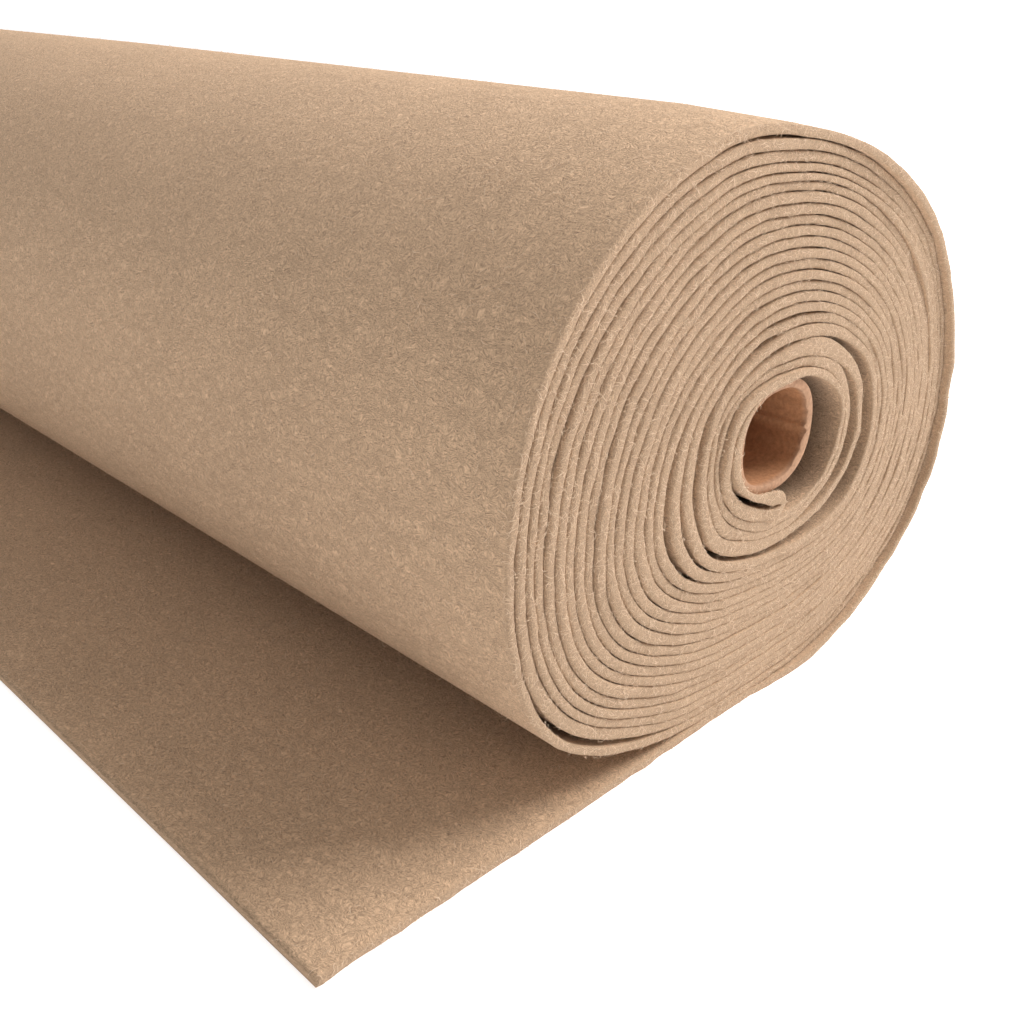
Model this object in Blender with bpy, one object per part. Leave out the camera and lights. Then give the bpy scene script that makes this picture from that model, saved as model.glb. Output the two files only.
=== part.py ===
"""A roll of thick felt on a cardboard core, lying on a floor with its loose end drawn out flat.

Metres, +Z up. X runs along the roll, and +X is the end from which the winding is read. The loose
end lies towards -Y. The origin is on the floor, under the middle of the roll.
"""

import math
from collections import namedtuple

import bpy

ROLL_LENGTH = 1.22
FELT_THICKNESS = 0.005
PIECE_GAP = 0.0003

SECTION_CENTRE_Z = 0.162
LOOSE_END_Y = -0.304
LOOSE_END_CORNER = 0.004
LOOSE_END_INNER_Y = -0.02

CORE_Y = 0.0032
CORE_Z = 0.1615
CORE_HALF_WIDTH = 0.0337
CORE_HALF_HEIGHT = 0.0311
CORE_SQUARENESS = 2.33
CORE_WALL = 0.0052
CORE_RECESS = 0.001
CORE_CLEARANCE = 0.0004

OUTLINE_STEP_DEG = 3
SLOT_STEPS = 14
CORE_SEGMENTS = 64
CORNER_STEPS = 4

FELT_COLOUR = (0.49, 0.335, 0.22, 1.0)
CARDBOARD_COLOUR = (0.33, 0.16, 0.08, 1.0)

Station = namedtuple("Station", "angle_deg radius_m")

# The felt's outer surface, round the middle of the section. It sags: low and wide, with a flatter
# back shoulder, and the lowest stations are cut off level where the roll rests.
OUTER_SURFACE = (
    Station(0, 0.1890),
    Station(20, 0.1765),
    Station(40, 0.1635),
    Station(60, 0.1540),
    Station(80, 0.1530),
    Station(100, 0.1615),
    Station(120, 0.1710),
    Station(140, 0.1815),
    Station(160, 0.1895),
    Station(180, 0.1920),
    Station(200, 0.1980),
    Station(212, 0.1990),
    Station(225, 0.1895),
    Station(240, 0.1735),
    Station(255, 0.1655),
    Station(280, 0.1660),
    Station(300, 0.1775),
    Station(320, 0.1915),
    Station(340, 0.1980),
)

# The innermost turn's inner surface, round the core. Behind, the first turns have sprung open and
# stand off the core; where a station lies inside the core, the felt follows the core instead.
INNER_SURFACE = (
    Station(0, 0.0632),
    Station(15, 0.0548),
    Station(30, 0.0452),
    Station(45, 0.0383),
    Station(58, 0.0345),
    Station(70, 0.0300),
    Station(180, 0.0300),
    Station(270, 0.0300),
    Station(277, 0.0400),
    Station(284, 0.0470),
    Station(300, 0.0546),
    Station(315, 0.0607),
    Station(330, 0.0641),
    Station(345, 0.0650),
)

Slot = namedtuple("Slot", "name share start_deg end_deg width_m")

# Where neighbouring turns stand apart along the whole roll. Share is the slot's place between the
# inner surface, 0, and the outer surface, 1.
OPEN_SLOTS = (
    Slot("second_turn", 0.07, -48, 16, 0.0075),
    Slot("third_turn", 0.175, -62, 38, 0.0140),
)


def even_slope(before, here, after):
    """The slope to give a station so that the curve never overshoots it."""
    rise_in = (here[1] - before[1]) / (here[0] - before[0])
    rise_out = (after[1] - here[1]) / (after[0] - here[0])
    if rise_in * rise_out <= 0:
        return 0.0
    return 2 * rise_in * rise_out / (rise_in + rise_out)


def radius_at(stations, angle_deg):
    """The radius at an angle, on one smooth closed curve through the stations."""
    count = len(stations)
    angle = (angle_deg - stations[0].angle_deg) % 360 + stations[0].angle_deg
    index = max(i for i in range(count) if stations[i].angle_deg <= angle)

    def station(offset):
        turn, place = divmod(index + offset, count)
        return stations[place].angle_deg + 360 * turn, stations[place].radius_m

    before, start, end, after = (station(k) for k in (-1, 0, 1, 2))
    span = end[0] - start[0]
    t = (angle - start[0]) / span
    start_slope = even_slope(before, start, end) * span
    end_slope = even_slope(start, end, after) * span
    blend = t * t * (3 - 2 * t)
    bend = t * (1 - t) * ((1 - t) * start_slope - t * end_slope)
    return start[1] + (end[1] - start[1]) * blend + bend


def polar(centre, radius, angle_deg):
    angle = math.radians(angle_deg)
    return centre[0] + radius * math.cos(angle), centre[1] + radius * math.sin(angle)


def outer_point(angle_deg, floor_z=0.0):
    """A point of the outer surface, no lower than what the roll rests on there."""
    radius = radius_at(OUTER_SURFACE, angle_deg)
    sine = math.sin(math.radians(angle_deg))
    if SECTION_CENTRE_Z + radius * sine < floor_z:
        radius = (SECTION_CENTRE_Z - floor_z) / -sine
    return polar((0.0, SECTION_CENTRE_Z), radius, angle_deg)


def core_radius(angle_deg, inset=0.0):
    """The core's radius at an angle: round, but pressed flatter at the top and bottom."""
    cosine = abs(math.cos(math.radians(angle_deg))) / (CORE_HALF_WIDTH - inset)
    sine = abs(math.sin(math.radians(angle_deg))) / (CORE_HALF_HEIGHT - inset)
    return (cosine**CORE_SQUARENESS + sine**CORE_SQUARENESS) ** (-1 / CORE_SQUARENESS)


def inner_point(angle_deg):
    follows_core = core_radius(angle_deg) + CORE_CLEARANCE
    radius = max(radius_at(INNER_SURFACE, angle_deg), follows_core)
    return polar((CORE_Y, CORE_Z), radius, angle_deg)


def wound_outline():
    """The felt's outer surface: over the top to the loose end, then on the floor and up behind."""
    on_loose_end = FELT_THICKNESS + PIECE_GAP
    front = [outer_point(a, on_loose_end) for a in range(90, 270, OUTLINE_STEP_DEG)]
    while front[-1][0] > LOOSE_END_INNER_Y:
        front.pop()
    step = [(LOOSE_END_INNER_Y, on_loose_end), (LOOSE_END_INNER_Y, 0.0)]
    back = [outer_point(a) for a in range(270, 450, OUTLINE_STEP_DEG)]
    return front + step + back


def core_hole():
    return [inner_point(a) for a in range(0, 360, OUTLINE_STEP_DEG)]


def slot_outline(slot):
    """A crescent between two turns, thin at both tips and widest in the middle."""
    near, far = [], []
    for k in range(SLOT_STEPS + 1):
        part = k / SLOT_STEPS
        angle = slot.start_deg + (slot.end_deg - slot.start_deg) * part
        inner, outer = inner_point(angle), outer_point(angle)
        reach = math.dist(inner, outer)
        opening = slot.width_m * math.sin(math.pi * part) ** 1.5
        for side, share in ((near, slot.share), (far, slot.share + opening / reach)):
            side.append(tuple(i + (o - i) * share for i, o in zip(inner, outer)))
    return near + far[-2:0:-1]


def core_outline(inset):
    """The core's outline, or one inset from it by an even wall."""
    angles = [360 * k / CORE_SEGMENTS for k in range(CORE_SEGMENTS)]
    return [polar((CORE_Y, CORE_Z), core_radius(a, inset), a) for a in angles]


def rounded_rectangle(low, high, corner):
    """A rectangle's outline, anticlockwise, with its corners rounded."""
    corners = (
        (high[0] - corner, high[1] - corner, 0),
        (low[0] + corner, high[1] - corner, 90),
        (low[0] + corner, low[1] + corner, 180),
        (high[0] - corner, low[1] + corner, 270),
    )
    return [
        polar((x, y), corner, start + 90 * k / CORNER_STEPS)
        for x, y, start in corners
        for k in range(CORNER_STEPS + 1)
    ]


def material(name, colour, roughness):
    made = bpy.data.materials.new(name)
    made.use_nodes = True
    shader = made.node_tree.nodes["Principled BSDF"]
    shader.inputs["Base Color"].default_value = colour
    shader.inputs["Roughness"].default_value = roughness
    shader.inputs["Metallic"].default_value = 0.0
    return made


def extruded(name, outlines, thickness, finish, collection):
    """A flat outline, with any holes after the first, as a curve given its thickness."""
    curve = bpy.data.curves.new(name, "CURVE")
    curve.dimensions = "2D"
    curve.fill_mode = "BOTH"
    curve.extrude = thickness / 2
    for outline in outlines:
        spline = curve.splines.new("POLY")
        spline.points.add(len(outline) - 1)
        for point, (u, v) in zip(spline.points, outline):
            point.co = (u, v, 0.0, 1.0)
        spline.use_cyclic_u = True
    curve.materials.append(finish)
    made = bpy.data.objects.new(name, curve)
    collection.objects.link(made)
    return made


def turn_along_roll(piece):
    """Stands a section drawn in Y and Z across the roll, so that its thickness runs along X."""
    piece.rotation_euler = (math.pi / 2, 0.0, math.pi / 2)


def build_wound_felt(felt, collection):
    outlines = [wound_outline(), core_hole()] + [slot_outline(s) for s in OPEN_SLOTS]
    turn_along_roll(extruded("wound_felt", outlines, ROLL_LENGTH, felt, collection))


def build_loose_end(felt, collection):
    half = ROLL_LENGTH / 2
    low = (-half, LOOSE_END_Y)
    high = (half, LOOSE_END_INNER_Y - PIECE_GAP)
    outline = rounded_rectangle(low, high, LOOSE_END_CORNER)
    sheet = extruded("loose_end", [outline], FELT_THICKNESS, felt, collection)
    sheet.location.z = FELT_THICKNESS / 2


def build_core_tube(cardboard, collection):
    outlines = [core_outline(0.0), core_outline(CORE_WALL)]
    length = ROLL_LENGTH - 2 * CORE_RECESS
    turn_along_roll(extruded("core_tube", outlines, length, cardboard, collection))


def main():
    for thing in list(bpy.data.objects):
        bpy.data.objects.remove(thing, do_unlink=True)
    roll = bpy.data.collections.new("felt_roll")
    bpy.context.scene.collection.children.link(roll)
    felt = material("felt", FELT_COLOUR, 0.95)
    cardboard = material("cardboard", CARDBOARD_COLOUR, 0.85)
    build_wound_felt(felt, roll)
    build_loose_end(felt, roll)
    build_core_tube(cardboard, roll)


if __name__ == "__main__":
    main()
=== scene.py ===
"""A roll of thick felt on a cardboard core, wound turn by turn, with its loose end drawn out flat.

Metres, +Z up. X runs along the roll, +X is the near end, and the loose end lies towards -Y. Angles
in the section are in degrees, seen from +X: 0 is the back, 90 the top, 180 the front, 270 the
floor. The felt winds outward clockwise, so a place along it is its winding, 0 where the first
full turn starts under the core and 360 more for each turn after it.
"""

import math
from collections import namedtuple

import bpy
import numpy as np
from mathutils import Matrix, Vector


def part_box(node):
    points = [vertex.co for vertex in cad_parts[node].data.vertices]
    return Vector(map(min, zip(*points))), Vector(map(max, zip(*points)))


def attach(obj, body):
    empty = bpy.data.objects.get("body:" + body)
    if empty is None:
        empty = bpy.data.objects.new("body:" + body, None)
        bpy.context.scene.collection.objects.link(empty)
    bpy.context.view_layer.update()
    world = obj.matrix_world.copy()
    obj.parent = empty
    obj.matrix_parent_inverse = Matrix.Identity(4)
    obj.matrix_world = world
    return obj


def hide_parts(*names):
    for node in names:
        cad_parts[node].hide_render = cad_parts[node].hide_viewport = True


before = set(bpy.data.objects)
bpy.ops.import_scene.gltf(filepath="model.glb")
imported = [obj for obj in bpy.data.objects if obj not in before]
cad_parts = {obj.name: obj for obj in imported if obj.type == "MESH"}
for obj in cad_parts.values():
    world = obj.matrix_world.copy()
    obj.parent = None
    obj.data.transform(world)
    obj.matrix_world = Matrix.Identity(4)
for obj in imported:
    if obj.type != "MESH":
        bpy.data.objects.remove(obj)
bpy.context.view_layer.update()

bl_info = {
    "name": "Felt Roll",
    "version": (1, 0, 0),
    "blender": (4, 5, 0),
    "location": "View3D > Sidebar > Felt Roll",
    "description": "Builds a wound roll of felt, its cardboard core and its stage",
    "category": "Add Mesh",
}

SEED = 4107

TURN = 360.0
FLOOR_DEG = 270
SECTION_CENTRE_Z = 0.162
WINDING_CENTRE = (0.0040, 0.1620)

# The innermost turns are stated one by one. The rest share out the room that is left.
FULL_TURNS = 22
STATED_TURNS = 5
FLAT_GAP = 0.0001
SMOOTHING_DEG = 6
THICKNESS_SMOOTHING_DEG = 2
OUTLINE_STEP_DEG = 0.5
OUTLINE_SMOOTHING_STEPS = 5

# How far the nose lies before the first turn, and where after the last turn the loose end
# counts as flat, in degrees of winding.
NOSE_DEG = 4
LOOSE_TOP_DEG = 20

# The outer surface is cut level only where it faces down at least this steeply.
LEVEL_SINE = 0.2

# The core is a tube pressed out of round. A squareness of 2 would be an ellipse.
CORE_SQUARENESS = 2.33
CORE_WALL = 0.0052
CORE_CLEARANCE = 0.0004
RIM_BEVEL = 0.0007

# Its bore's edge is torn at the near end, most of all towards the back.
TEAR_M = 0.0022
TORN_DEPTH_M = 0.004
TEAR_SMOOTHING_DEG = 2.0
RIM_DEPTH_M = 0.0011
TORN_SHARE_OF_WALL = 0.7

# Away from its ends the roll is fuller on top.
FULLNESS_M = 0.006
FULLNESS_FADE_M = 0.06

# The felt's cut edges: how they are rounded, and how unevenly they are cut.
END_INSET = 0.0008
CORNER_LEAST = 0.0003
CORNER_IN_GROOVE = 0.0014
CORNER_SHARE_OF_HALF = 0.75
THINNING_AT_CORNER = 0.5
FAR_EDGE_SHARE = 0.6
RAGGED_M = 0.00028
RAGGED_STATIONS = 1.0
SWAY_M = 0.0004
SWAY_STATIONS = 9
WAVE_M = 0.00009
WAVE_STATIONS = 1.2
WAVE_LEAST = 0.3
FACE_EDGE_SHADE = 0.6

# Where the felt's faces stop lipping over the core's end, from the roll's end. The points after
# that are shares of the roll's length, from its middle.
BEHIND_RIM_M = 0.0009
BEHIND_RIM_STEP_M = 0.0012
ALONG_ROLL_SHARES = (0.484, 0.440, 0.0, -0.440, -0.484)

# Between the opened inner turns little light reaches the felt away from its near edge, so the felt's
# colour is darkened there: painted shade.
DEEP_TURNS = 5
DEEP_FROM_END_M = 0.012

# Loose fibres: arched ribbons.
FIBRE_STEPS = 4
FIBRE_WIDTH_M = 0.00028
FIBRE_TIP_SHARE = 0.15
FIBRE_LIFT_M = 0.00005
FIBRE_ARCH = (0.02, 0.30)
FIBRE_LENGTH_SHARES = (0.4, 1.3)
FIBRE_CURL = 0.9
NEAR_FIBRE_M = 0.0055
OUTER_FIBRE_M = 0.007

# The stage: a white floor that glows a little, an even sky, one large light and the camera.
FLOOR_DROP = 0.0002
FLOOR_GLOW = 0.55
SKY_STRENGTH = 0.62
KEY_SIZE = 2.0
KEY_PLACE = (1.3, 1.9, 2.3)
KEY_AIM = (0.4, 0, 0.15)
CAMERA_PLACE = (0.9196, -0.4926, 0.3915)
CAMERA_TURN_DEG = 45.87
CAMERA_TILT_DEG = 25.69

Zone = namedtuple("Zone", "centre_deg reach_deg")

TEAR_ZONE = Zone(-10, 55)
FULLNESS_ZONE = Zone(95, 70)
FRONT_SHARE_ZONE = Zone(190, 75)
TOP_SHARE_ZONE = Zone(85, 60)

Patch = namedtuple("Patch", "amount centre_deg reach_deg")

# How strongly the line between a turn and the next one shows: a little everywhere, most at the
# front and the top, and at the back only on the inner and the outermost turns.
GROOVE_LEAST = 0.04
GROOVE_FRONT = Patch(0.9, 175, 80)
GROOVE_TOP = Patch(0.7, 85, 65)
GROOVE_BACK_ZONE = Zone(335, 75)
GROOVE_BACK_INNER = 0.22
GROOVE_BACK_OUTER = 0.9
BACK_INNER_TURNS = 11
BACK_OUTER_FROM_TURN = 19.6
GROOVE_OF_HOOK = 0.4
GROOVE_OF_BEND = 0.3
GROOVE_GAP_M = 0.00075

# How far the felt swells past its own thickness where it has room.
SWELL_INNER = Patch(0.7, 235, 80)
SWELL_OUTER = Patch(0.5, 188, 80)
SWELL_BACK = Patch(1.0, 55, 60)
SWELL_INNER_TURNS = 3.3
SWELL_BACK_TURNS = 4

Profile = namedtuple("Profile", "back_share thickness_share")

# The cut edge's section, from the felt's outer face round to its inner one.
EDGE_PROFILE = (
    Profile(1.0, 1.0),
    Profile(0.35, 0.93),
    Profile(0.0, 0.6),
    Profile(0.0, 0.0),
    Profile(0.0, -0.6),
    Profile(0.35, -0.93),
    Profile(1.0, -1.0),
)

SectionPoint = namedtuple("SectionPoint", "angle_deg radius_mm")

# The roll's outer surface round the middle of the section.
OUTER_SURFACE = (
    SectionPoint(0, 189.0),
    SectionPoint(15, 178.9),
    SectionPoint(30, 170.5),
    SectionPoint(45, 160.7),
    SectionPoint(60, 153.9),
    SectionPoint(75, 152.6),
    SectionPoint(88, 154.0),
    SectionPoint(100, 161.8),
    SectionPoint(110, 167.2),
    SectionPoint(120, 171.0),
    SectionPoint(130, 177.5),
    SectionPoint(140, 181.3),
    SectionPoint(150, 186.6),
    SectionPoint(160, 189.7),
    SectionPoint(170, 191.5),
    SectionPoint(180, 192.0),
    SectionPoint(190, 195.1),
    SectionPoint(200, 198.4),
    SectionPoint(208, 199.6),
    SectionPoint(215, 199.0),
    SectionPoint(222, 193.2),
    SectionPoint(230, 182.3),
    SectionPoint(237, 176.6),
    SectionPoint(250, 166.1),
    SectionPoint(265, 162.0),
    SectionPoint(275, 163.5),
    SectionPoint(285, 168.3),
    SectionPoint(300, 177.7),
    SectionPoint(310, 183.6),
    SectionPoint(320, 191.5),
    SectionPoint(330, 196.6),
    SectionPoint(340, 198.0),
    SectionPoint(350, 195.1),
)

InnerTurn = namedtuple("InnerTurn", "floor_to_front front_to_top top_to_back back_to_floor")

# How far the inner face of each of the innermost turns stands from the winding's centre, in mm,
# every 15 degrees.
TURN_STEP_DEG = 15
INNER_TURNS_MM = (
    InnerTurn(
        (42.2, 39.9, 39.2, 40.1, 41.5, 42.3),
        (41.9, 42.5, 41.8, 38.6, 34.4, 32.2),
        (31.6, 32.8, 34.6, 37.8, 44.2, 53.8),
        (62.6, 64.4, 63.6, 60.8, 55.0, 50.0),
    ),
    InnerTurn(
        (47.9, 47.2, 47.3, 48.2, 49.2, 50.1),
        (49.4, 48.6, 47.3, 43.0, 38.4, 36.0),
        (35.0, 36.2, 38.6, 43.4, 50.4, 58.3),
        (66.0, 69.0, 67.8, 64.0, 60.0, 56.6),
    ),
    InnerTurn(
        (54.8, 52.8, 52.6, 53.6, 54.1, 54.0),
        (53.5, 53.2, 52.0, 47.4, 43.6, 41.4),
        (40.4, 41.4, 44.6, 50.2, 58.0, 70.0),
        (80.2, 84.0, 82.0, 74.5, 67.5, 62.0),
    ),
    InnerTurn(
        (59.4, 57.9, 59.1, 62.1, 61.2, 60.1),
        (59.2, 58.7, 57.2, 53.3, 50.6, 49.6),
        (49.3, 51.2, 55.2, 62.6, 72.6, 86.0),
        (96.2, 102.0, 102.5, 94.0, 82.0, 73.4),
    ),
    InnerTurn(
        (69.8, 68.6, 70.6, 73.8, 72.4, 71.3),
        (70.0, 68.0, 65.0, 61.4, 59.6, 57.6),
        (57.0, 58.4, 63.0, 69.7, 78.6, 91.2),
        (101.6, 107.4, 108.2, 99.6, 87.4, 78.8),
    ),
)

TurnShare = namedtuple("TurnShare", "front top")

# The room each outer turn takes at the front and at the top, where the roll shows its turns
# best, against an even share.
TURN_SHARES = (
    TurnShare(1.25, 1.34),
    TurnShare(1.43, 1.10),
    TurnShare(1.12, 1.10),
    TurnShare(0.93, 1.00),
    TurnShare(1.01, 1.02),
    TurnShare(1.10, 1.05),
    TurnShare(1.00, 1.04),
    TurnShare(0.89, 1.04),
    TurnShare(1.10, 1.00),
    TurnShare(0.94, 0.94),
    TurnShare(1.02, 1.07),
    TurnShare(0.97, 1.04),
    TurnShare(0.97, 0.85),
    TurnShare(0.94, 0.72),
    TurnShare(0.89, 0.80),
    TurnShare(0.77, 1.04),
    TurnShare(0.92, 0.94),
    TurnShare(0.74, 0.89),
)

Pocket = namedtuple("Pocket", "turn centre_deg reach_deg extra_share")

# Where a turn stands off the next one outward by more than its neighbours do.
POCKETS = (
    Pocket(5, 205, 34, 0.45),
    Pocket(6, 200, 32, 0.5),
    Pocket(9, 205, 30, 0.3),
    Pocket(12, 215, 30, 0.35),
    Pocket(17, 222, 26, 0.3),
    Pocket(21, 221, 30, 0.95),
    Pocket(21, 98, 12, 0.35),
)

Offset = namedtuple("Offset", "winding_deg along_mm")

# How far a turn's near edge stands out past the roll's length, along the winding.
NEAR_EDGE = (
    Offset(-250, 2.2),
    Offset(-60, 2.8),
    Offset(-5, 2.4),
    Offset(15, 0.6),
    Offset(60, 0.6),
    Offset(100, 2.6),
    Offset(195, 2.8),
    Offset(230, 0.6),
    Offset(360, 0.0),
    Offset(500, 0.8),
    Offset(620, 0.0),
    Offset(7740, 0.0),
    Offset(7775, 3.6),
    Offset(7900, 4.2),
    Offset(7925, 1.2),
    Offset(8000, 0.0),
    Offset(9000, 0.0),
)

RimLip = namedtuple("RimLip", "winding_deg over_mm")

# How far the innermost felt's near edge lips inward over the end of the core.
RIM_LIP = (
    RimLip(-250, 0.0),
    RimLip(-70, 0.6),
    RimLip(-40, 1.9),
    RimLip(-18, 2.2),
    RimLip(-6, 1.2),
    RimLip(5, 0.0),
    RimLip(100, 0.0),
    RimLip(125, 2.4),
    RimLip(150, 3.2),
    RimLip(180, 2.6),
    RimLip(205, 1.2),
    RimLip(225, 0.0),
    RimLip(9000, 0.0),
)

# The hook at the innermost end, in mm from the winding's centre: it turns back under the core and
# its tip runs up between the core and the first turn.
HookPoint = namedtuple("HookPoint", "angle_deg inner_mm outer_mm")
HOOK_TIP = (
    HookPoint(128, 33.2, 34.4),
    HookPoint(142, 34.0, 37.4),
    HookPoint(158, 34.9, 40.2),
    HookPoint(180, 34.9, 41.2),
    HookPoint(205, 34.4, 40.2),
    HookPoint(225, 33.6, 36.9),
    HookPoint(240, 32.8, 36.3),
    HookPoint(252, 32.2, 36.3),
    HookPoint(262, 32.2, 38.0),
    HookPoint(270, 32.6, 39.9),
)


def smooth_table(points, angles, closed):
    """Values at angles on a smooth curve through a table's points."""
    x = np.array([p[0] for p in points], float)
    y = np.array([p[1] for p in points], float)
    if closed:
        x = np.concatenate([x - TURN, x, x + TURN])
        y = np.tile(y, 3)
    step = np.diff(x)
    rise = np.diff(y) / step
    slope = np.zeros(len(x))
    both = rise[:-1] * rise[1:] > 0
    slope[1:-1][both] = 2 * rise[:-1][both] * rise[1:][both] / (rise[:-1] + rise[1:])[both]
    place = np.clip(np.searchsorted(x, angles, side="right") - 1, 0, len(step) - 1)
    t = (np.asarray(angles, float) - x[place]) / step[place]
    t = np.clip(t, 0, 1)
    blend = t * t * (3 - 2 * t)
    bend = t * (1 - t) * ((1 - t) * slope[place] - t * slope[place + 1]) * step[place]
    return y[place] + (y[place + 1] - y[place]) * blend + bend


def bump(angle, zone):
    """1 at a zone's centre, falling smoothly to 0 at its reach either side."""
    away = np.abs((np.asarray(angle) - zone.centre_deg + 180) % TURN - 180)
    part = np.minimum(away / zone.reach_deg, 1)
    return np.where(away < zone.reach_deg, np.cos(part * math.pi / 2) ** 2, 0.0)


def blurred(values, width):
    """Values along a line, evened out over about width samples."""
    reach = int(3 * width)
    weights = np.exp(-0.5 * (np.arange(-reach, reach + 1) / width) ** 2)
    padded = np.pad(values, reach, mode="edge")
    return np.convolve(padded, weights / weights.sum(), mode="valid")


def wander(rng, count, width):
    """Seeded random values with unit spread that change over about width samples."""
    noise = blurred(rng.standard_normal(count + int(8 * width)), width)
    noise = noise[int(4 * width) : int(4 * width) + count]
    return noise / max(noise.std(), 1e-9)


def core_radius(angle_deg, inset=0.0):
    """The core's radius round its own middle: pressed flatter at the top and bottom."""
    low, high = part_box("core_tube")
    cosine = np.abs(np.cos(np.radians(angle_deg))) / ((high.y - low.y) / 2 - inset)
    sine = np.abs(np.sin(np.radians(angle_deg))) / ((high.z - low.z) / 2 - inset)
    return (cosine**CORE_SQUARENESS + sine**CORE_SQUARENESS) ** (-1 / CORE_SQUARENESS)


def core_clear(angle_deg):
    """How near the winding's centre the felt can come at each angle without entering the core."""
    low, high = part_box("core_tube")
    round_core = np.arange(0.0, TURN, 1.0)
    radius = core_radius(round_core) + CORE_CLEARANCE
    y = (low.y + high.y) / 2 + radius * np.cos(np.radians(round_core)) - WINDING_CENTRE[0]
    z = (low.z + high.z) / 2 + radius * np.sin(np.radians(round_core)) - WINDING_CENTRE[1]
    turned = np.degrees(np.arctan2(z, y)) % TURN
    return np.interp(np.asarray(angle_deg) % TURN, turned, np.hypot(y, z), period=TURN)


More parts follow.
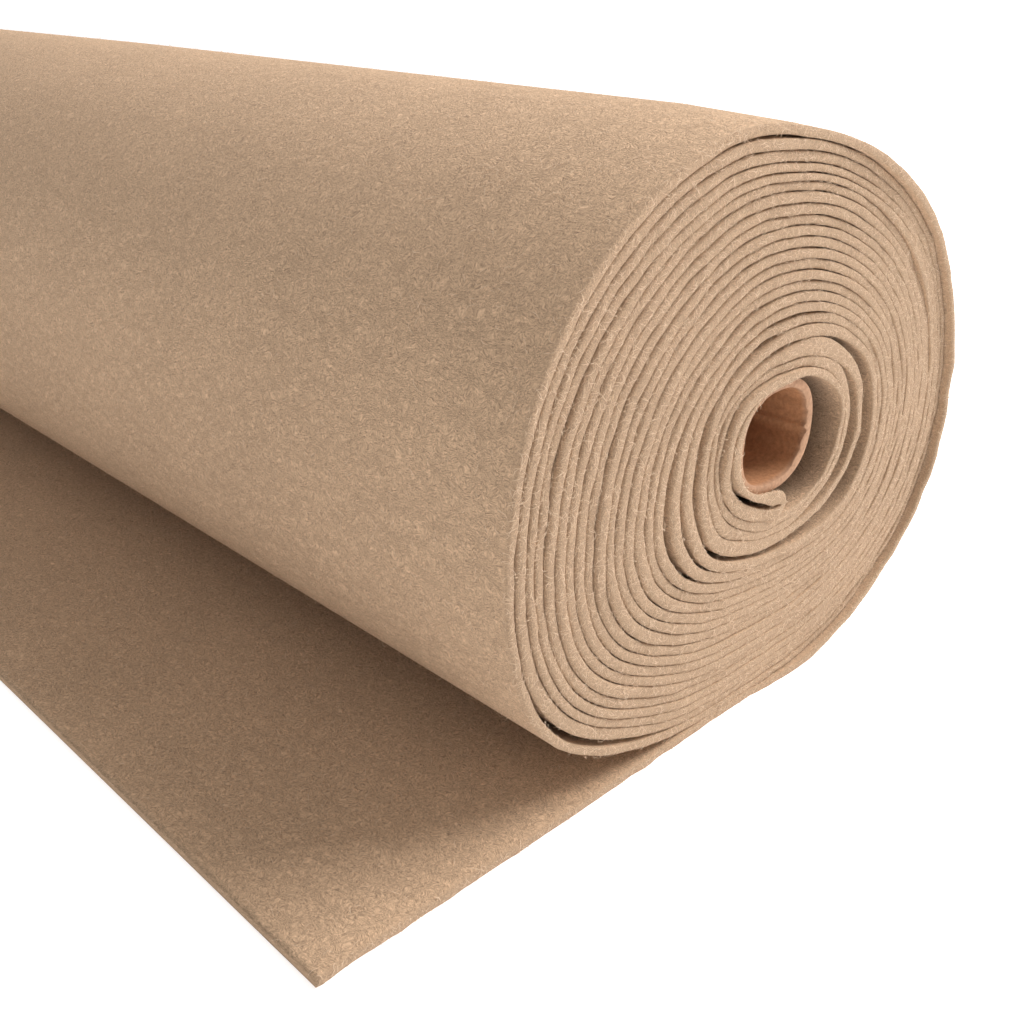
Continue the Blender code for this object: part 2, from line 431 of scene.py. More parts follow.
class Winding:
    """The felt's section: at any winding, its inner and outer faces and the line outside it."""

    def __init__(self, felt_thickness):
        self.centre = np.array(WINDING_CENTRE)
        self.thickness = felt_thickness
        self._outer_curve()
        self._inner_faces()
        self._thicknesses()

    def _outer_curve(self):
        angle = np.arange(0, TURN, OUTLINE_STEP_DEG)
        radius = smooth_table(OUTER_SURFACE, angle, True) / 1000
        radius = blurred(np.tile(radius, 3), OUTLINE_SMOOTHING_STEPS)[len(angle) : 2 * len(angle)]
        y = radius * np.cos(np.radians(angle))
        z = SECTION_CENTRE_Z + radius * np.sin(np.radians(angle))
        away_y, away_z = y - self.centre[0], z - self.centre[1]
        turned = np.degrees(np.arctan2(away_z, away_y)) % TURN
        order = np.argsort(turned)
        self.outer_angle = turned[order]
        self.outer_radius = np.hypot(away_y, away_z)[order]

    def outer(self, winding):
        """The roll's outer surface at a winding in the last turn, level where it meets the floor."""
        angle = (FLOOR_DEG - np.asarray(winding)) % TURN
        radius = np.interp(
            angle,
            np.concatenate([self.outer_angle - TURN, self.outer_angle, self.outer_angle + TURN]),
            np.tile(self.outer_radius, 3),
        )
        sine = np.sin(np.radians(angle))
        part = (np.asarray(winding) - TURN * (FULL_TURNS - 1)) / TURN
        floor = np.where(part < 0.5, self.thickness + FLAT_GAP, 0.0)
        reach_down = (self.centre[1] - floor) / np.maximum(-sine, LEVEL_SINE)
        level = np.where(sine < -LEVEL_SINE, reach_down, math.inf)
        return np.minimum(radius, level)

    def _inner_faces(self):
        """The radius of the felt's inner face at every degree of winding, as one spiral."""
        stated = np.array(INNER_TURNS_MM).ravel() / 1000
        places = np.arange(len(stated)) * TURN_STEP_DEG
        w = np.arange(0, TURN * STATED_TURNS, 1.0)
        just_short = TURN * FULL_TURNS - 0.01
        end = self.outer(np.array([just_short]))[0]
        layers = FULL_TURNS - STATED_TURNS + 2
        first = INNER_TURNS_MM[-1].floor_to_front[0] / 1000
        pitch = (end - first) / layers
        table = list(zip(places, stated)) + [(TURN * STATED_TURNS, first + pitch)]
        inner = list(smooth_table(table, w, False))
        fifth = np.array(inner[-int(TURN) :] + [first + pitch])
        for turn in range(STATED_TURNS + 1, FULL_TURNS + 2):
            part = np.arange(0, TURN + 1, 1.0)
            angle = (FLOOR_DEG - part) % TURN
            shares = self._shares(angle)
            before = shares[: turn - STATED_TURNS].sum(0) / shares.sum(0)
            outside = self.outer(TURN * (FULL_TURNS - 1) + part)
            radius = fifth + (outside - fifth) * before
            if turn == FULL_TURNS + 1:
                radius = outside
            inner.extend(radius[:-1])
        inner = blurred(np.array(inner), SMOOTHING_DEG)
        low = core_clear(FLOOR_DEG - np.arange(TURN))
        inner[: int(TURN)] = np.maximum(inner[: int(TURN)], low)
        self.inner_all = inner

    def _shares(self, angle):
        """Each outer turn's share of the room between the stated turns and the outer surface."""
        front = bump(angle, FRONT_SHARE_ZONE)
        top = bump(angle, TOP_SHARE_ZONE)
        shares = []
        for turn, row in enumerate(TURN_SHARES, start=STATED_TURNS):
            share = 1 + (row.front - 1) * front + (row.top - 1) * top
            for pocket in POCKETS:
                if pocket.turn == turn:
                    share = share + pocket.extra_share * bump(angle, pocket)
            shares.append(share)
        return np.array(shares)

    def inner(self, winding):
        return np.interp(winding, np.arange(len(self.inner_all)), self.inner_all)

    def groove(self, winding):
        """How strongly the line between a turn and the next one outward shows, from 0 to 1."""
        winding = np.asarray(winding, float)
        angle = (FLOOR_DEG - winding) % TURN
        turn = winding / TURN
        shows = GROOVE_LEAST + GROOVE_FRONT.amount * bump(angle, GROOVE_FRONT) ** 0.5
        shows = shows + GROOVE_TOP.amount * bump(angle, GROOVE_TOP)
        back = bump(angle, GROOVE_BACK_ZONE) ** 0.5
        inner = GROOVE_BACK_INNER * (turn < BACK_INNER_TURNS)
        outer = GROOVE_BACK_OUTER * (turn > BACK_OUTER_FROM_TURN)
        shows = shows + back * (inner + outer)
        return np.clip(shows, 0, 1)

    def _thicknesses(self):
        """The felt fills its room where it is slack, and keeps its own thickness elsewhere."""
        w = np.arange(0, TURN * FULL_TURNS, 1.0)
        room = self.inner_all[int(TURN) :][: len(w)] - self.inner_all[: len(w)]
        angle = (FLOOR_DEG - w) % TURN
        slope = np.gradient(self.inner_all[: len(w)], np.radians(1.0)) / self.inner_all[: len(w)]
        stretch = np.sqrt(1 + slope**2)
        inner, outer, back = [
            patch.amount * bump(angle, patch) for patch in (SWELL_INNER, SWELL_OUTER, SWELL_BACK)
        ]
        swell = np.where(w > TURN * SWELL_INNER_TURNS, outer, inner)
        swell = np.maximum(swell, back * (w < TURN * SWELL_BACK_TURNS))
        springy = self.thickness * (1 + swell)
        gap = FLAT_GAP + GROOVE_GAP_M * self.groove(w)
        gap[w > TURN * (FULL_TURNS - 1)] = 0
        self.felt = blurred(np.minimum(springy * stretch, room - gap), THICKNESS_SMOOTHING_DEG)
        self.felt = np.minimum(self.felt, room - np.where(gap > 0, FLAT_GAP, 0))

    def faces(self, winding):
        """The inner and outer radius at a winding."""
        inner = self.inner(winding)
        return inner, inner + np.interp(winding, np.arange(len(self.felt)), self.felt)


class Stations:
    """Places along the felt: its inner and outer points, winding, and groove strength."""

    def __init__(self):
        self.inner, self.outer, self.at, self.grooves = [], [], [], []

    def add(self, inner, outer, winding_deg, groove):
        self.inner.append(np.array(inner, float))
        self.outer.append(np.array(outer, float))
        self.at.append(winding_deg)
        self.grooves.append(groove)

    def arrays(self):
        return tuple(np.array(v) for v in (self.inner, self.outer, self.at, self.grooves))


def placed(angle_deg, radius):
    """The point at an angle and radius round the winding's centre."""
    angle = math.radians(angle_deg)
    return np.array(WINDING_CENTRE) + radius * np.array([math.cos(angle), math.sin(angle)])


def add_hook(stations, step):
    """The leaf between the core and the first turn. Its face towards the core is its outer one."""
    inner_side = [(p.angle_deg, p.inner_mm) for p in HOOK_TIP]
    outer_side = [(p.angle_deg, p.outer_mm) for p in HOOK_TIP]
    start, stop = HOOK_TIP[0].angle_deg, HOOK_TIP[-1].angle_deg
    mean_radius = 0.037
    count = int(math.radians(stop - start) * mean_radius / step) + 1
    for k in range(count):
        a = start + (stop - start) * k / count
        low = float(smooth_table(inner_side, [a], False)[0]) / 1000
        low = max(low, float(core_clear([a])[0]))
        high = float(smooth_table(outer_side, [a], False)[0]) / 1000
        stations.add(placed(a, high), placed(a, low), a - stop - NOSE_DEG, GROOVE_OF_HOOK)


def add_nose(stations, winding):
    """The fold where the leaf turns back into the first turn."""
    end = HOOK_TIP[-1]
    leaf_in = placed(end.angle_deg, end.outer_mm / 1000)
    leaf_out = placed(end.angle_deg, end.inner_mm / 1000)
    first_in, first_out = winding.faces(np.array([0.0]))
    body_in, body_out = placed(FLOOR_DEG, first_in[0]), placed(FLOOR_DEG, first_out[0])
    inside_half = np.linalg.norm(leaf_in - body_in) / 2
    outside_half = np.linalg.norm(leaf_out - body_out) / 2
    steps = 12
    inside_reach = 0.0062
    outside_reach = 0.0108
    bluntness = 0.8
    for k in range(steps):
        turned = math.pi * (k / steps)
        inside = (leaf_in + body_in) / 2 + np.array(
            [inside_reach * math.sin(turned), inside_half * math.cos(turned)]
        )
        outside = (leaf_out + body_out) / 2 + np.array(
            [outside_reach * math.sin(turned) ** bluntness, outside_half * math.cos(turned)]
        )
        stations.add(inside, outside, -NOSE_DEG, GROOVE_OF_BEND)


def add_turns(stations, winding, step):
    """Every full turn, from the floor under the core outward."""
    least_radius = 0.02
    w = 0.0
    while w < TURN * FULL_TURNS:
        inner, outer = winding.faces(np.array([w]))
        angle = FLOOR_DEG - w
        groove = float(winding.groove([w])[0])
        stations.add(placed(angle, inner[0]), placed(angle, outer[0]), w, groove)
        w += math.degrees(step / max((inner[0] + outer[0]) / 2, least_radius))


def add_loose_end(stations, felt_thickness, loose_end_y, step):
    """The felt's end on the floor, which comes down from the last turn and then lies flat."""
    end_inner, end_outer = stations.inner[-1], stations.outer[-1]
    least_step = 0.0005
    settle_m = 0.05
    turn_radius = 0.16
    y, distance = end_outer[0], 0.0
    while y > loose_end_y + least_step:
        distance += step
        y = max(y - step, loose_end_y)
        lift = float(np.interp(distance, [0, settle_m, 1], [1, 0, 0])) ** 2
        top = felt_thickness + lift * max(end_inner[1] - felt_thickness, 0)
        winding_deg = TURN * FULL_TURNS + math.degrees(distance / turn_radius)
        stations.add((y, top), (y, FLAT_GAP), winding_deg, GROOVE_OF_BEND)


def section_path(felt_thickness, loose_end_y, step):
    """The felt's whole section, from the tip of the hook to the end on the floor."""
    winding = Winding(felt_thickness)
    stations = Stations()
    add_hook(stations, step)
    add_nose(stations, winding)
    add_turns(stations, winding, step)
    add_loose_end(stations, felt_thickness, loose_end_y, step)
    return stations.arrays()


class FeltRings:
    """The rings of points across the roll, one at each station, that make the felt's mesh."""

    def __init__(self, inner, outer, at, groove, length, rng):
        self.at = at
        self.count = len(at)
        self.length = length
        self.middle = (inner + outer) / 2
        self.half = (outer - inner) / 2
        self.half_size = np.linalg.norm(self.half, axis=1)
        rounded = CORNER_LEAST + CORNER_IN_GROOVE * groove
        self.corner = np.minimum(rounded, self.half_size * CORNER_SHARE_OF_HALF)
        near = np.array(smooth_table(NEAR_EDGE, at, False)) / 1000
        self.near_reach, self.far_reach = [
            length / 2 - END_INSET + shift + self._uneven(rng)
            for shift in (near, FAR_EDGE_SHARE * near[::-1])
        ]
        self.near_wave, self.far_wave = [
            WAVE_M * (WAVE_LEAST + groove) * wander(rng, self.count, WAVE_STATIONS) for _ in range(2)
        ]
        self.from_centre = self.middle - np.array(WINDING_CENTRE)
        self.from_centre /= np.linalg.norm(self.from_centre, axis=1, keepdims=True)
        outer_turns = TURN * (FULL_TURNS - STATED_TURNS)
        turns_out = np.clip((at - TURN * STATED_TURNS) / outer_turns, 0, 1)
        self.fullness = FULLNESS_M * turns_out * bump(FLOOR_DEG - at, FULLNESS_ZONE)
        self.fullness[at > TURN * FULL_TURNS] = 0
        self.over_rim = smooth_table(RIM_LIP, at, False) / 1000
        self.columns, self.cut = [], []
        self._build()

    def _uneven(self, rng):
        ragged = RAGGED_M * wander(rng, self.count, RAGGED_STATIONS)
        return ragged + SWAY_M * wander(rng, self.count, SWAY_STATIONS)

    def column(self, x, share, edge, wave=None, lips=False):
        """One line of points along the felt, at a share of its thickness."""
        share = np.broadcast_to(share, self.count)
        point = self.middle + self.half * share[:, None]
        away = np.maximum(self.length / 2 - np.abs(x), 0)
        rise = self.fullness * (1 - np.exp(-away / FULLNESS_FADE_M))
        point = point + self.from_centre * rise[:, None]
        if lips:
            core_side = np.where(self.at < 0, (1 + share) / 2, (1 - share) / 2)
            point = point - self.from_centre * (self.over_rim * core_side)[:, None]
        if wave is not None:
            point = point + (self.half / self.half_size[:, None]) * wave[:, None]
        self.columns.append(np.column_stack([np.broadcast_to(x, self.count), point]))
        self.cut.append(np.full(self.count, edge))

    def _build(self):
        """Near edge, inner face, far edge, outer face. Notes where each of them starts."""
        for back, share in EDGE_PROFILE:
            thinning = 1 - self.corner / self.half_size * (1 - abs(share)) * THINNING_AT_CORNER
            edge = 1.0 if back < 1 else FACE_EDGE_SHADE
            x = self.near_reach - self.corner * back
            self.column(x, share * thinning, edge, self.near_wave, lips=True)
        self.inner_face = len(self.columns) - 1
        behind_rim = self.near_reach - self.corner
        behind_rim = np.minimum(behind_rim, self.length / 2 - BEHIND_RIM_M) - BEHIND_RIM_STEP_M
        self.column(behind_rim, -1.0, 0.0)
        for share in ALONG_ROLL_SHARES:
            self.column(share * self.length, -1.0, 0.0)
        self.far_end = len(self.columns)
        for back, share in reversed(EDGE_PROFILE):
            edge = 1.0 if back < 1 else FACE_EDGE_SHADE
            self.column(self.corner * back - self.far_reach, share, edge, self.far_wave)
        self.outer_face = len(self.columns) - 1
        for share in reversed(ALONG_ROLL_SHARES):
            self.column(share * self.length, 1.0, 0.0)
        self.column(behind_rim, 1.0, 0.0)

    def painted_shade(self):
        """How much painted shade each point gets between the innermost turns, from 0 to 1."""
        innermost = np.clip((TURN * DEEP_TURNS - self.at) / TURN, 0, 1) * (self.at > -TURN)
        inside = self.length / 2 - DEEP_FROM_END_M
        shaded = [innermost * (np.abs(c[:, 0]) < inside) for c in self.columns]
        return np.stack(shaded, axis=1).reshape(-1)

    def mesh(self, name):
        """The rings joined into one closed skin."""
        ring = len(self.columns)
        points = np.stack(self.columns, axis=1).reshape(-1, 3)
        i = np.arange(self.count - 1)[:, None] * ring
        j = np.arange(ring)[None, :]
        after = (j + 1) % ring
        quads = np.stack([i + j, i + after, i + ring + after, i + ring + j], axis=-1)
        faces = quads.reshape(-1, 4).tolist()
        faces.append(list(range(ring - 1, -1, -1)))
        faces.append([(self.count - 1) * ring + k for k in range(ring)])
        made = bpy.data.meshes.new(name)
        made.from_pydata(points.tolist(), [], faces)
        cut = np.stack(self.cut, axis=1).reshape(-1)
        for attribute, values in (("cut_edge", cut), ("painted_shade", self.painted_shade())):
            layer = made.attributes.new(attribute, "FLOAT", "POINT")
            layer.data.foreach_set("value", values.astype(np.float32))
        return made

    def near_end_faces(self):
        """Which of the mesh's faces lie on the near edge. Its last two close the felt's ends."""
        _, column = self._station_and_column()
        return self._with_ends(column < self.inner_face)

    def outside_faces(self):
        """Which faces show on the roll's outer surface or on top of the loose end."""
        station, column = self._station_and_column()
        winding = self.at[station]
        last_turn = (winding > TURN * (FULL_TURNS - 1)) & (winding < TURN * FULL_TURNS)
        flat = winding > TURN * FULL_TURNS + LOOSE_TOP_DEG
        on_top = flat & (column >= self.inner_face) & (column < self.far_end)
        return self._with_ends((last_turn & (column >= self.outer_face)) | on_top)

    def _station_and_column(self):
        faces = np.arange((self.count - 1) * len(self.columns))
        return faces // len(self.columns), faces % len(self.columns)

    def _with_ends(self, chosen):
        return np.concatenate([chosen, [False, False]])


def linked(name, mesh):
    """A new object for a mesh, in the scene and active."""
    piece = bpy.data.objects.new(name, mesh)
    bpy.context.scene.collection.objects.link(piece)
    bpy.context.view_layer.objects.active = piece
    return piece


def tear_rim(tube, centre, end_x):
    """Frays the bore's edge where the board's plies have torn at the near end."""
    rng = np.random.default_rng(SEED + 1)
    fray = wander(rng, int(TURN), TEAR_SMOOTHING_DEG)
    for vertex in tube.data.vertices:
        if vertex.co.x < end_x - RIM_DEPTH_M:
            continue
        y, z = vertex.co.y - centre.y, vertex.co.z - centre.z
        angle = math.degrees(math.atan2(z, y))
        radius = math.hypot(y, z)
        if radius > float(core_radius(angle)) - CORE_WALL * TORN_SHARE_OF_WALL:
            continue
        torn = TEAR_M * float(bump(angle, TEAR_ZONE))
        grown = 1 - (0.5 + 0.5 * fray[int(angle) % len(fray)]) * torn / radius
        vertex.co.y, vertex.co.z = centre.y + y * grown, centre.z + z * grown


def loose_fibres(name, felt, allowed, count, rng, fibre_length):
    """Short curled fibres lying on the felt, each an arched ribbon with tapered ends."""
    mesh = felt.data
    total = len(mesh.polygons)
    areas, normals = np.zeros(total), np.zeros(total * 3)
    mesh.polygons.foreach_get("area", areas)
    mesh.polygons.foreach_get("normal", normals)
    normals = normals.reshape(-1, 3)
    corners = np.zeros(len(mesh.vertices) * 3)
    mesh.vertices.foreach_get("co", corners)
    corners = corners.reshape(-1, 3)
    usable = np.flatnonzero(allowed)
    chance = areas[usable] / areas[usable].sum()
    chosen = rng.choice(usable, count, p=chance)
    quad = np.array([corners[list(mesh.polygons[int(k)].vertices)[:4]] for k in chosen])
    across, down = rng.random((2, count, 1))
    root = (quad[:, 0] * (1 - across) + quad[:, 1] * across) * (1 - down)
    root += (quad[:, 3] * (1 - across) + quad[:, 2] * across) * down
    up = normals[chosen]
    side = np.cross(up, rng.standard_normal((count, 3)))
    side /= np.linalg.norm(side, axis=1, keepdims=True)
    ahead = np.cross(side, up)
    reach = fibre_length * rng.uniform(*FIBRE_LENGTH_SHARES, (count, 1))
    curl = rng.normal(0, FIBRE_CURL, (count, 1))
    height = reach * rng.uniform(*FIBRE_ARCH, (count, 1))
    points = []
    for k in range(FIBRE_STEPS + 1):
        part = k / FIBRE_STEPS
        turn = curl * (part - 0.5)
        middle = root + reach * (part - 0.5) * (ahead * np.cos(turn) + side * np.sin(turn))
        middle = middle + up * (height * math.sin(math.pi * part) + FIBRE_LIFT_M)
        half = FIBRE_WIDTH_M / 2 * max(math.sin(math.pi * part), FIBRE_TIP_SHARE)
        points += [middle - side * half, middle + side * half]
    per_fibre = 2 * (FIBRE_STEPS + 1)
    points = np.stack(points, axis=1).reshape(-1, 3)
    points[:, 2] = np.maximum(points[:, 2], FLAT_GAP)
    start = np.arange(count)[:, None] * per_fibre + np.arange(FIBRE_STEPS)[None, :] * 2
    quads = np.stack([start, start + 1, start + 3, start + 2], axis=-1).reshape(-1, 4)
    ribbon = bpy.data.meshes.new(name)
    ribbon.from_pydata(points.tolist(), [], quads.tolist())
    return linked(name, ribbon)


def face_outward(piece):
    """Turns every face of a closed piece outward."""
    select_only(piece)
    bpy.ops.object.mode_set(mode="EDIT")
    bpy.ops.mesh.select_all(action="SELECT")
    bpy.ops.mesh.normals_make_consistent(inside=False)
    bpy.ops.object.mode_set(mode="OBJECT")


def select_only(piece):
    bpy.ops.object.select_all(action="DESELECT")
    piece.select_set(True)
    bpy.context.view_layer.objects.active = piece


def node(tree, kind, at, **settings):
    """A new shader node at a place in its tree."""
    made = tree.nodes.new(kind)
    made.location = at
    for key, value in settings.items():
        setattr(made, key, value)
    return made


def felt_material(name, colour, cut_colour):
    """Needled felt: fibres that swirl on its faces, and a finer grain on its cut edges."""
    made = bpy.data.materials.new(name)
    made.use_nodes = True
    tree = made.node_tree
    link = tree.links.new
    shader = tree.nodes["Principled BSDF"]
    shader.inputs["Roughness"].default_value = 0.95
    shader.inputs["Specular IOR Level"].default_value = 0.1
    shader.inputs["Sheen Weight"].default_value = 0.05
    shader.inputs["Sheen Roughness"].default_value = 0.6
    coords = node(tree, "ShaderNodeTexCoord", (-1800, 0))
    cut = node(tree, "ShaderNodeAttribute", (-1800, -500), attribute_name="cut_edge")

    swirl = node(tree, "ShaderNodeTexNoise", (-1500, 300))
    swirl.inputs["Scale"].default_value = 90
    swirl.inputs["Detail"].default_value = 2
    bend = node(tree, "ShaderNodeVectorMath", (-1300, 200), operation="MULTIPLY_ADD")
    bend.inputs[1].default_value = (0.012, 0.012, 0.012)
    link(coords.outputs["Object"], swirl.inputs["Vector"])
    link(swirl.outputs["Color"], bend.inputs[0])
    link(coords.outputs["Object"], bend.inputs[2])

    fibres = []
    for at, scale in (((-1100, 300), (260, 1500, 1500)), ((-1100, 0), (1300, 420, 1300))):
        stretch = node(tree, "ShaderNodeMapping", at)
        stretch.inputs["Scale"].default_value = scale
        noise = node(tree, "ShaderNodeTexNoise", (at[0] + 220, at[1]))
        noise.inputs["Scale"].default_value = 1.0
        noise.inputs["Detail"].default_value = 3
        noise.inputs["Roughness"].default_value = 0.65
        link(bend.outputs[0], stretch.inputs["Vector"])
        link(stretch.outputs[0], noise.inputs["Vector"])
        fibres.append(noise)
    face_fibre = node(tree, "ShaderNodeMath", (-650, 200), operation="ADD")
    link(fibres[0].outputs["Fac"], face_fibre.inputs[0])
    link(fibres[1].outputs["Fac"], face_fibre.inputs[1])

    grain = node(tree, "ShaderNodeTexNoise", (-880, -300))
    grain.inputs["Scale"].default_value = 1500
    grain.inputs["Detail"].default_value = 2
    grain.inputs["Roughness"].default_value = 0.7
    link(coords.outputs["Object"], grain.inputs["Vector"])
    cut_grain = node(tree, "ShaderNodeMath", (-650, -300), operation="MULTIPLY_ADD")
    cut_grain.inputs[1].default_value = 1.1
    cut_grain.inputs[2].default_value = 0.45
    link(grain.outputs["Fac"], cut_grain.inputs[0])
    texture = node(tree, "ShaderNodeMix", (-450, 0), data_type="FLOAT")
    link(cut.outputs["Fac"], texture.inputs[0])
    link(face_fibre.outputs[0], texture.inputs[2])
    link(cut_grain.outputs[0], texture.inputs[3])

    contrast = node(tree, "ShaderNodeMapRange", (-250, 0))
    contrast.inputs["From Min"].default_value = 0.62
    contrast.inputs["From Max"].default_value = 1.38
    contrast.inputs["To Min"].default_value = 0.42
    contrast.inputs["To Max"].default_value = 1.60
    link(texture.outputs[0], contrast.inputs["Value"])

    drift = node(tree, "ShaderNodeTexNoise", (-650, 500))
    drift.inputs["Scale"].default_value = 14
    drift.inputs["Detail"].default_value = 3
    link(coords.outputs["Object"], drift.inputs["Vector"])
    drift_range = node(tree, "ShaderNodeMapRange", (-450, 500))
    drift_range.inputs["To Min"].default_value = 0.92
    drift_range.inputs["To Max"].default_value = 1.08
    link(drift.outputs["Fac"], drift_range.inputs["Value"])
    tone = node(tree, "ShaderNodeMath", (-50, 200), operation="MULTIPLY")
    link(contrast.outputs[0], tone.inputs[0])
    link(drift_range.outputs[0], tone.inputs[1])

    base = node(tree, "ShaderNodeMix", (-50, -200), data_type="RGBA")
    base.inputs[6].default_value = (*colour, 1)
    base.inputs[7].default_value = (*cut_colour, 1)
    link(cut.outputs["Fac"], base.inputs[0])
    # Painted shade: the felt's colour is darkened by up to 0.55 between the innermost turns, away
    # from the near edge.
    painted_shade = node(tree, "ShaderNodeAttribute", (-450, 800), attribute_name="painted_shade")
    dim = node(tree, "ShaderNodeMath", (-250, 800), operation="MULTIPLY_ADD")
    dim.inputs[1].default_value = -0.55
    dim.inputs[2].default_value = 1.0
    link(painted_shade.outputs["Fac"], dim.inputs[0])
    dimmed = node(tree, "ShaderNodeMath", (0, 500), operation="MULTIPLY")
    link(tone.outputs[0], dimmed.inputs[0])
    link(dim.outputs[0], dimmed.inputs[1])
    shade = node(tree, "ShaderNodeVectorMath", (150, 100), operation="SCALE")
    link(base.outputs[2], shade.inputs[0])
    link(dimmed.outputs[0], shade.inputs["Scale"])
    link(shade.outputs[0], shader.inputs["Base Color"])
    relief = node(tree, "ShaderNodeBump", (150, -300))
    relief.inputs["Strength"].default_value = 0.85
    relief.inputs["Distance"].default_value = 0.0009
    link(texture.outputs[0], relief.inputs["Height"])
    link(relief.outputs[0], shader.inputs["Normal"])
    return made


def fibre_material(name, colour):
    """Loose felt fibres, in the felt's own colour painted paler: painted light for the light they
    catch standing clear of it.
    """
    made = bpy.data.materials.new(name)
    made.use_nodes = True
    shader = made.node_tree.nodes["Principled BSDF"]
    shader.inputs["Base Color"].default_value = (*colour, 1)
    shader.inputs["Roughness"].default_value = 0.9
    return made


def board_material(name, colour, rim_colour):
    """Tube board: mottled brown, and greyer where it is cut."""
    made = bpy.data.materials.new(name)
    made.use_nodes = True
    tree = made.node_tree
    link = tree.links.new
    shader = tree.nodes["Principled BSDF"]
    shader.inputs["Roughness"].default_value = 0.85
    shader.inputs["Specular IOR Level"].default_value = 0.2
    coords = node(tree, "ShaderNodeTexCoord", (-900, 0))
    cut = node(tree, "ShaderNodeAttribute", (-900, -300), attribute_name="cut_edge")
    noise = node(tree, "ShaderNodeTexNoise", (-650, 0))
    noise.inputs["Scale"].default_value = 420
    noise.inputs["Detail"].default_value = 4
    noise.inputs["Roughness"].default_value = 0.65
    link(coords.outputs["Object"], noise.inputs["Vector"])
    contrast = node(tree, "ShaderNodeMapRange", (-450, 0))
    contrast.inputs["From Min"].default_value = 0.3
    contrast.inputs["From Max"].default_value = 0.7
    contrast.inputs["To Min"].default_value = 0.78
    contrast.inputs["To Max"].default_value = 1.2
    link(noise.outputs["Fac"], contrast.inputs["Value"])
    base = node(tree, "ShaderNodeMix", (-450, -300), data_type="RGBA")
    base.inputs[6].default_value = (*colour, 1)
    base.inputs[7].default_value = (*rim_colour, 1)
    link(cut.outputs["Fac"], base.inputs[0])
    shade = node(tree, "ShaderNodeVectorMath", (-200, 0), operation="SCALE")
    link(base.outputs[2], shade.inputs[0])
    link(contrast.outputs[0], shade.inputs["Scale"])
    link(shade.outputs[0], shader.inputs["Base Color"])
    relief = node(tree, "ShaderNodeBump", (-200, -300))
    relief.inputs["Strength"].default_value = 0.4
    relief.inputs["Distance"].default_value = 0.0005
    link(noise.outputs["Fac"], relief.inputs["Height"])
    link(relief.outputs[0], shader.inputs["Normal"])
    return made


class FeltRollSheet(bpy.types.PropertyGroup):
    """The felt's settings"""

    thickness: bpy.props.FloatProperty(
        name="Thickness", description="The felt's thickness", default=0.005,
        min=0.002, max=0.01, unit="LENGTH",
    )
    step: bpy.props.FloatProperty(
        name="Station Step", description="The distance between stations along the felt",
        default=0.0044, min=0.002, max=0.02, unit="LENGTH",
    )
    colour: bpy.props.FloatVectorProperty(
        name="Face Colour", description="The colour of the felt's faces",
        default=(0.53, 0.355, 0.225), subtype="COLOR", min=0, max=1,
    )
    cut_colour: bpy.props.FloatVectorProperty(
        name="Cut Colour", description="The colour of the felt's cut edges",
        default=(0.432, 0.292, 0.187), subtype="COLOR", min=0, max=1,
    )
    # Paler than the felt: the fibres' own colour with painted light for the light they catch
    # standing clear of the felt.
    fibre_colour: bpy.props.FloatVectorProperty(
        name="Fibre Colour", description="The colour of the felt's loose fibres",
        default=(0.66, 0.48, 0.33), subtype="COLOR", min=0, max=1,
    )
    end_fibres: bpy.props.IntProperty(
        name="End Fibres", description="Loose fibres on the near end", default=14000,
        min=0, max=20000,
    )
    outer_fibres: bpy.props.IntProperty(
        name="Outer Fibres", description="Loose fibres on the outer surface", default=14000,
        min=0, max=24000,
    )


class FeltRollCore(bpy.types.PropertyGroup):
    """The core's settings"""

    segments: bpy.props.IntProperty(
        name="Segments", description="The number of facets round the tube", default=192,
        min=32, max=512,
    )
    colour: bpy.props.FloatVectorProperty(
        name="Board Colour", description="The colour of the tube board",
        default=(0.42, 0.205, 0.10), subtype="COLOR", min=0, max=1,
    )
    rim_colour: bpy.props.FloatVectorProperty(
        name="Rim Colour", description="The colour of the board where it is cut",
        default=(0.38, 0.215, 0.128), subtype="COLOR", min=0, max=1,
    )


class FeltRollStage(bpy.types.PropertyGroup):
    """The stage's settings"""

    floor_size: bpy.props.FloatProperty(
        name="Floor Size", description="The side of the square floor", default=30.0,
        min=5, max=100, unit="LENGTH",
    )
    key_power: bpy.props.FloatProperty(
        name="Key Light", description="The power of the main light", default=140.0,
        min=0, max=500, unit="POWER",
    )
    lens: bpy.props.FloatProperty(
        name="Lens", description="The camera's focal length", default=41.1,
        min=20, max=200, unit="CAMERA",
    )


class FELTROLL_OT_sheet(bpy.types.Operator):
    """Add the felt: one unbroken sheet, wound from the core outward and drawn out on the floor"""

    bl_idname = "feltroll.sheet"
    bl_label = "Felt"

    def execute(self, context):
        settings = context.scene.felt_roll_sheet
        rng = np.random.default_rng(SEED)
        low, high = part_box("wound_felt")
        loose_low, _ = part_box("loose_end")
        inner, outer, at, groove = section_path(settings.thickness, loose_low.y, settings.step)
        width = high.x - low.x
        rings = FeltRings(inner, outer, at, groove, width, rng)
        felt = linked("felt", rings.mesh("felt"))
        felt.data.materials.append(
            felt_material("felt", settings.colour, settings.cut_colour)
        )
        face_outward(felt)
        bpy.ops.object.shade_smooth()
        fibre = fibre_material("loose_fibre", settings.fibre_colour)
        for name, faces, count, length in (
            ("near_end_fibres", rings.near_end_faces(), settings.end_fibres, NEAR_FIBRE_M),
            ("outer_fibres", rings.outside_faces(), settings.outer_fibres, OUTER_FIBRE_M),
        ):
            hairs = loose_fibres(name, felt, faces, count, rng, length)
            hairs.data.materials.append(fibre)
            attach(hairs, "root")
        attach(felt, "root")
        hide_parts("wound_felt", "loose_end")
        return {"FINISHED"}


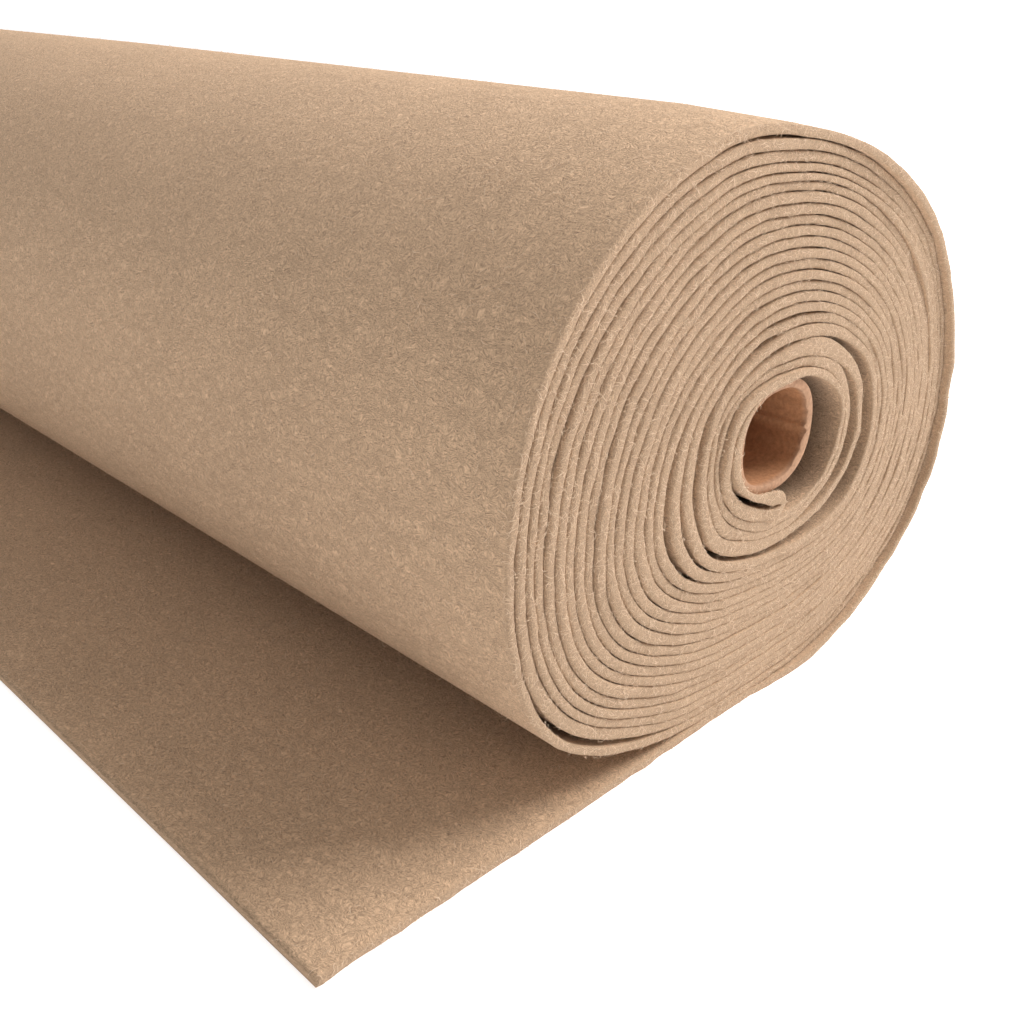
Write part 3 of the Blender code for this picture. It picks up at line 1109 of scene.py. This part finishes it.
class FELTROLL_OT_core(bpy.types.Operator):
    """Add the cardboard core"""

    bl_idname = "feltroll.core"
    bl_label = "Core"

    def execute(self, context):
        settings = context.scene.felt_roll_core
        low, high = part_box("core_tube")
        centre = Vector((0, (low.y + high.y) / 2, (low.z + high.z) / 2))
        bpy.ops.object.select_all(action="DESELECT")
        bpy.ops.mesh.primitive_cylinder_add(
            vertices=settings.segments, radius=1.0, depth=high.x - low.x,
            rotation=(0, math.pi / 2, 0), end_fill_type="NOTHING",
        )
        tube = bpy.context.object
        tube.name = tube.data.name = "core"
        bpy.ops.object.transform_apply(location=True, rotation=True, scale=True)
        for vertex in tube.data.vertices:
            angle = math.degrees(math.atan2(vertex.co.z, vertex.co.y))
            radius = float(core_radius(angle))
            vertex.co.y, vertex.co.z = vertex.co.y * radius, vertex.co.z * radius
        wall = tube.modifiers.new("wall", "SOLIDIFY")
        wall.thickness = CORE_WALL
        wall.offset = -1
        wall.use_even_offset = True
        bpy.ops.object.modifier_apply(modifier=wall.name)
        bevel = tube.modifiers.new("worn_rim", "BEVEL")
        bevel.width = RIM_BEVEL
        bevel.segments = 2
        bevel.limit_method = "ANGLE"
        bpy.ops.object.modifier_apply(modifier=bevel.name)
        tube.location = centre
        bpy.ops.object.transform_apply(location=True, rotation=True, scale=True)
        bpy.ops.object.mode_set(mode="EDIT")
        bpy.ops.mesh.select_all(action="SELECT")
        bpy.ops.mesh.bisect(plane_co=(high.x - TORN_DEPTH_M, 0, 0), plane_no=(1, 0, 0))
        bpy.ops.object.mode_set(mode="OBJECT")
        tear_rim(tube, centre, high.x)
        rim_x = high.x - RIM_DEPTH_M
        cut = [1.0 if abs(v.co.x) > rim_x else 0.0 for v in tube.data.vertices]
        tube.data.attributes.new("cut_edge", "FLOAT", "POINT").data.foreach_set("value", cut)
        tube.data.materials.append(
            board_material("cardboard", settings.colour, settings.rim_colour)
        )
        face_outward(tube)
        bpy.ops.object.shade_smooth_by_angle(angle=math.radians(40))
        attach(tube, "root")
        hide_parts("core_tube")
        return {"FINISHED"}


class FELTROLL_OT_stage(bpy.types.Operator):
    """Add the floor, the light and the camera"""

    bl_idname = "feltroll.stage"
    bl_label = "Stage"

    def execute(self, context):
        settings = context.scene.felt_roll_stage
        bpy.ops.object.select_all(action="DESELECT")
        bpy.ops.mesh.primitive_plane_add(size=settings.floor_size, location=(0, 0, -FLOOR_DROP))
        floor = bpy.context.object
        floor.name = floor.data.name = "floor"
        bpy.ops.object.transform_apply(location=True, rotation=True, scale=True)
        white = bpy.data.materials.new("floor")
        white.use_nodes = True
        shader = white.node_tree.nodes["Principled BSDF"]
        shader.inputs["Base Color"].default_value = (0.9, 0.9, 0.9, 1)
        shader.inputs["Roughness"].default_value = 0.9
        shader.inputs["Emission Color"].default_value = (1, 1, 1, 1)
        shader.inputs["Emission Strength"].default_value = FLOOR_GLOW
        floor.data.materials.append(white)

        world = bpy.data.worlds.new("stage")
        world.use_nodes = True
        sky = world.node_tree.nodes["Background"]
        sky.inputs["Color"].default_value = (1, 1, 1, 1)
        sky.inputs["Strength"].default_value = SKY_STRENGTH
        context.scene.world = world

        key = bpy.data.lights.new("key", "AREA")
        key.energy = settings.key_power
        key.size = KEY_SIZE
        key_object = bpy.data.objects.new("key", key)
        key_object.location = KEY_PLACE
        toward = Vector(KEY_AIM) - key_object.location
        key_object.rotation_euler = toward.to_track_quat("-Z", "Y").to_euler()
        context.scene.collection.objects.link(key_object)

        lens = bpy.data.cameras.new("camera")
        lens.lens = settings.lens
        lens.sensor_width = 36
        lens.clip_start = 0.01
        camera = bpy.data.objects.new("camera", lens)
        turn, tilt = math.radians(CAMERA_TURN_DEG), math.radians(CAMERA_TILT_DEG)
        camera.location = CAMERA_PLACE
        camera.rotation_euler = (math.pi / 2 - tilt, 0, turn)
        context.scene.collection.objects.link(camera)
        context.scene.camera = camera
        context.scene.view_settings.view_transform = "Standard"
        return {"FINISHED"}


class FELTROLL_PT_panel(bpy.types.Panel):
    """Lists the pieces of the felt roll"""

    bl_idname = "FELTROLL_PT_panel"
    bl_label = "Felt Roll"
    bl_space_type = "VIEW_3D"
    bl_region_type = "UI"
    bl_category = "Felt Roll"

    def draw(self, context):
        for group, operator in (
            ("felt_roll_sheet", FELTROLL_OT_sheet),
            ("felt_roll_core", FELTROLL_OT_core),
            ("felt_roll_stage", FELTROLL_OT_stage),
        ):
            box = self.layout.box()
            settings = getattr(context.scene, group)
            for name in settings.bl_rna.properties.keys():
                if name not in ("rna_type", "name"):
                    box.prop(settings, name)
            box.operator(operator.bl_idname)


CLASSES = (
    FeltRollSheet,
    FeltRollCore,
    FeltRollStage,
    FELTROLL_OT_sheet,
    FELTROLL_OT_core,
    FELTROLL_OT_stage,
    FELTROLL_PT_panel,
)


def register():
    for cls in CLASSES:
        bpy.utils.register_class(cls)
    scene = bpy.types.Scene
    scene.felt_roll_sheet = bpy.props.PointerProperty(type=FeltRollSheet)
    scene.felt_roll_core = bpy.props.PointerProperty(type=FeltRollCore)
    scene.felt_roll_stage = bpy.props.PointerProperty(type=FeltRollStage)


def unregister():
    for name in ("felt_roll_stage", "felt_roll_core", "felt_roll_sheet"):
        delattr(bpy.types.Scene, name)
    for cls in reversed(CLASSES):
        bpy.utils.unregister_class(cls)


def main():
    register()
    bpy.ops.feltroll.sheet()
    bpy.ops.feltroll.core()
    bpy.ops.feltroll.stage()


if __name__ == "__main__":
    main()
